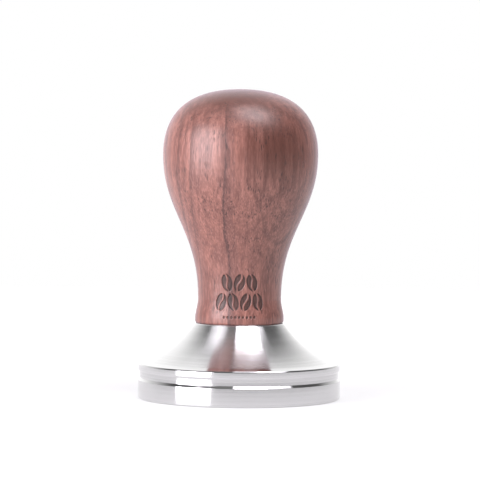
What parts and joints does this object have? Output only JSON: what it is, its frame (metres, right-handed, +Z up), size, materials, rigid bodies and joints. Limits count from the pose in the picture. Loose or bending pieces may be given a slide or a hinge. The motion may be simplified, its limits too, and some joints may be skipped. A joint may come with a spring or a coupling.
{
  "type": "espresso tamper",
  "caption": "Espresso tamper: a turned steel base with a flared neck and a bulb-shaped walnut handle that unscrews on a threaded stud.",
  "frame": {"origin": "centre of the flat tamping face, at the bottom of the steel base", "axes": "+Z up along the turning axis, from the tamping face to the crown of the handle; the burnt emblem faces -Y, and +X is to its right"},
  "size_m": [0.058, 0.058, 0.0885],
  "materials": {
    "turned_steel": "fine-turned stainless steel, satin, with concentric tool marks",
    "stud_steel": "plain stainless steel screw thread",
    "black_rubber": "matte black nitrile rubber",
    "walnut": "turned walnut, straight grain, satin oil finish, with a small burnt emblem",
    "brass": "machined and knurled brass"
  },
  "bodies": {
    "tamper_base": {"base": "turned_steel", "threaded_stud": "stud_steel"},
    "ring_carrier": {"rubber_ring": "black_rubber"},
    "tamper_handle": {"handle": "walnut", "threaded_insert": "brass"}
  },
  "joints": [
    {"name": "handle_rise", "type": "slide", "parent": "tamper_base", "child": "ring_carrier", "axis": [0, 0, 1], "range_m": [0, 0.01125]},
    {"name": "handle_turn", "type": "hinge", "parent": "ring_carrier", "child": "tamper_handle", "pos_m": [0, 0, 0.0216], "axis": [0, 0, 1], "range_deg": [0, 3240]}
  ],
  "couplings": [
    {"joint": "handle_rise", "follows": "handle_turn", "m_per_rad": 0.00019894}
  ]
}
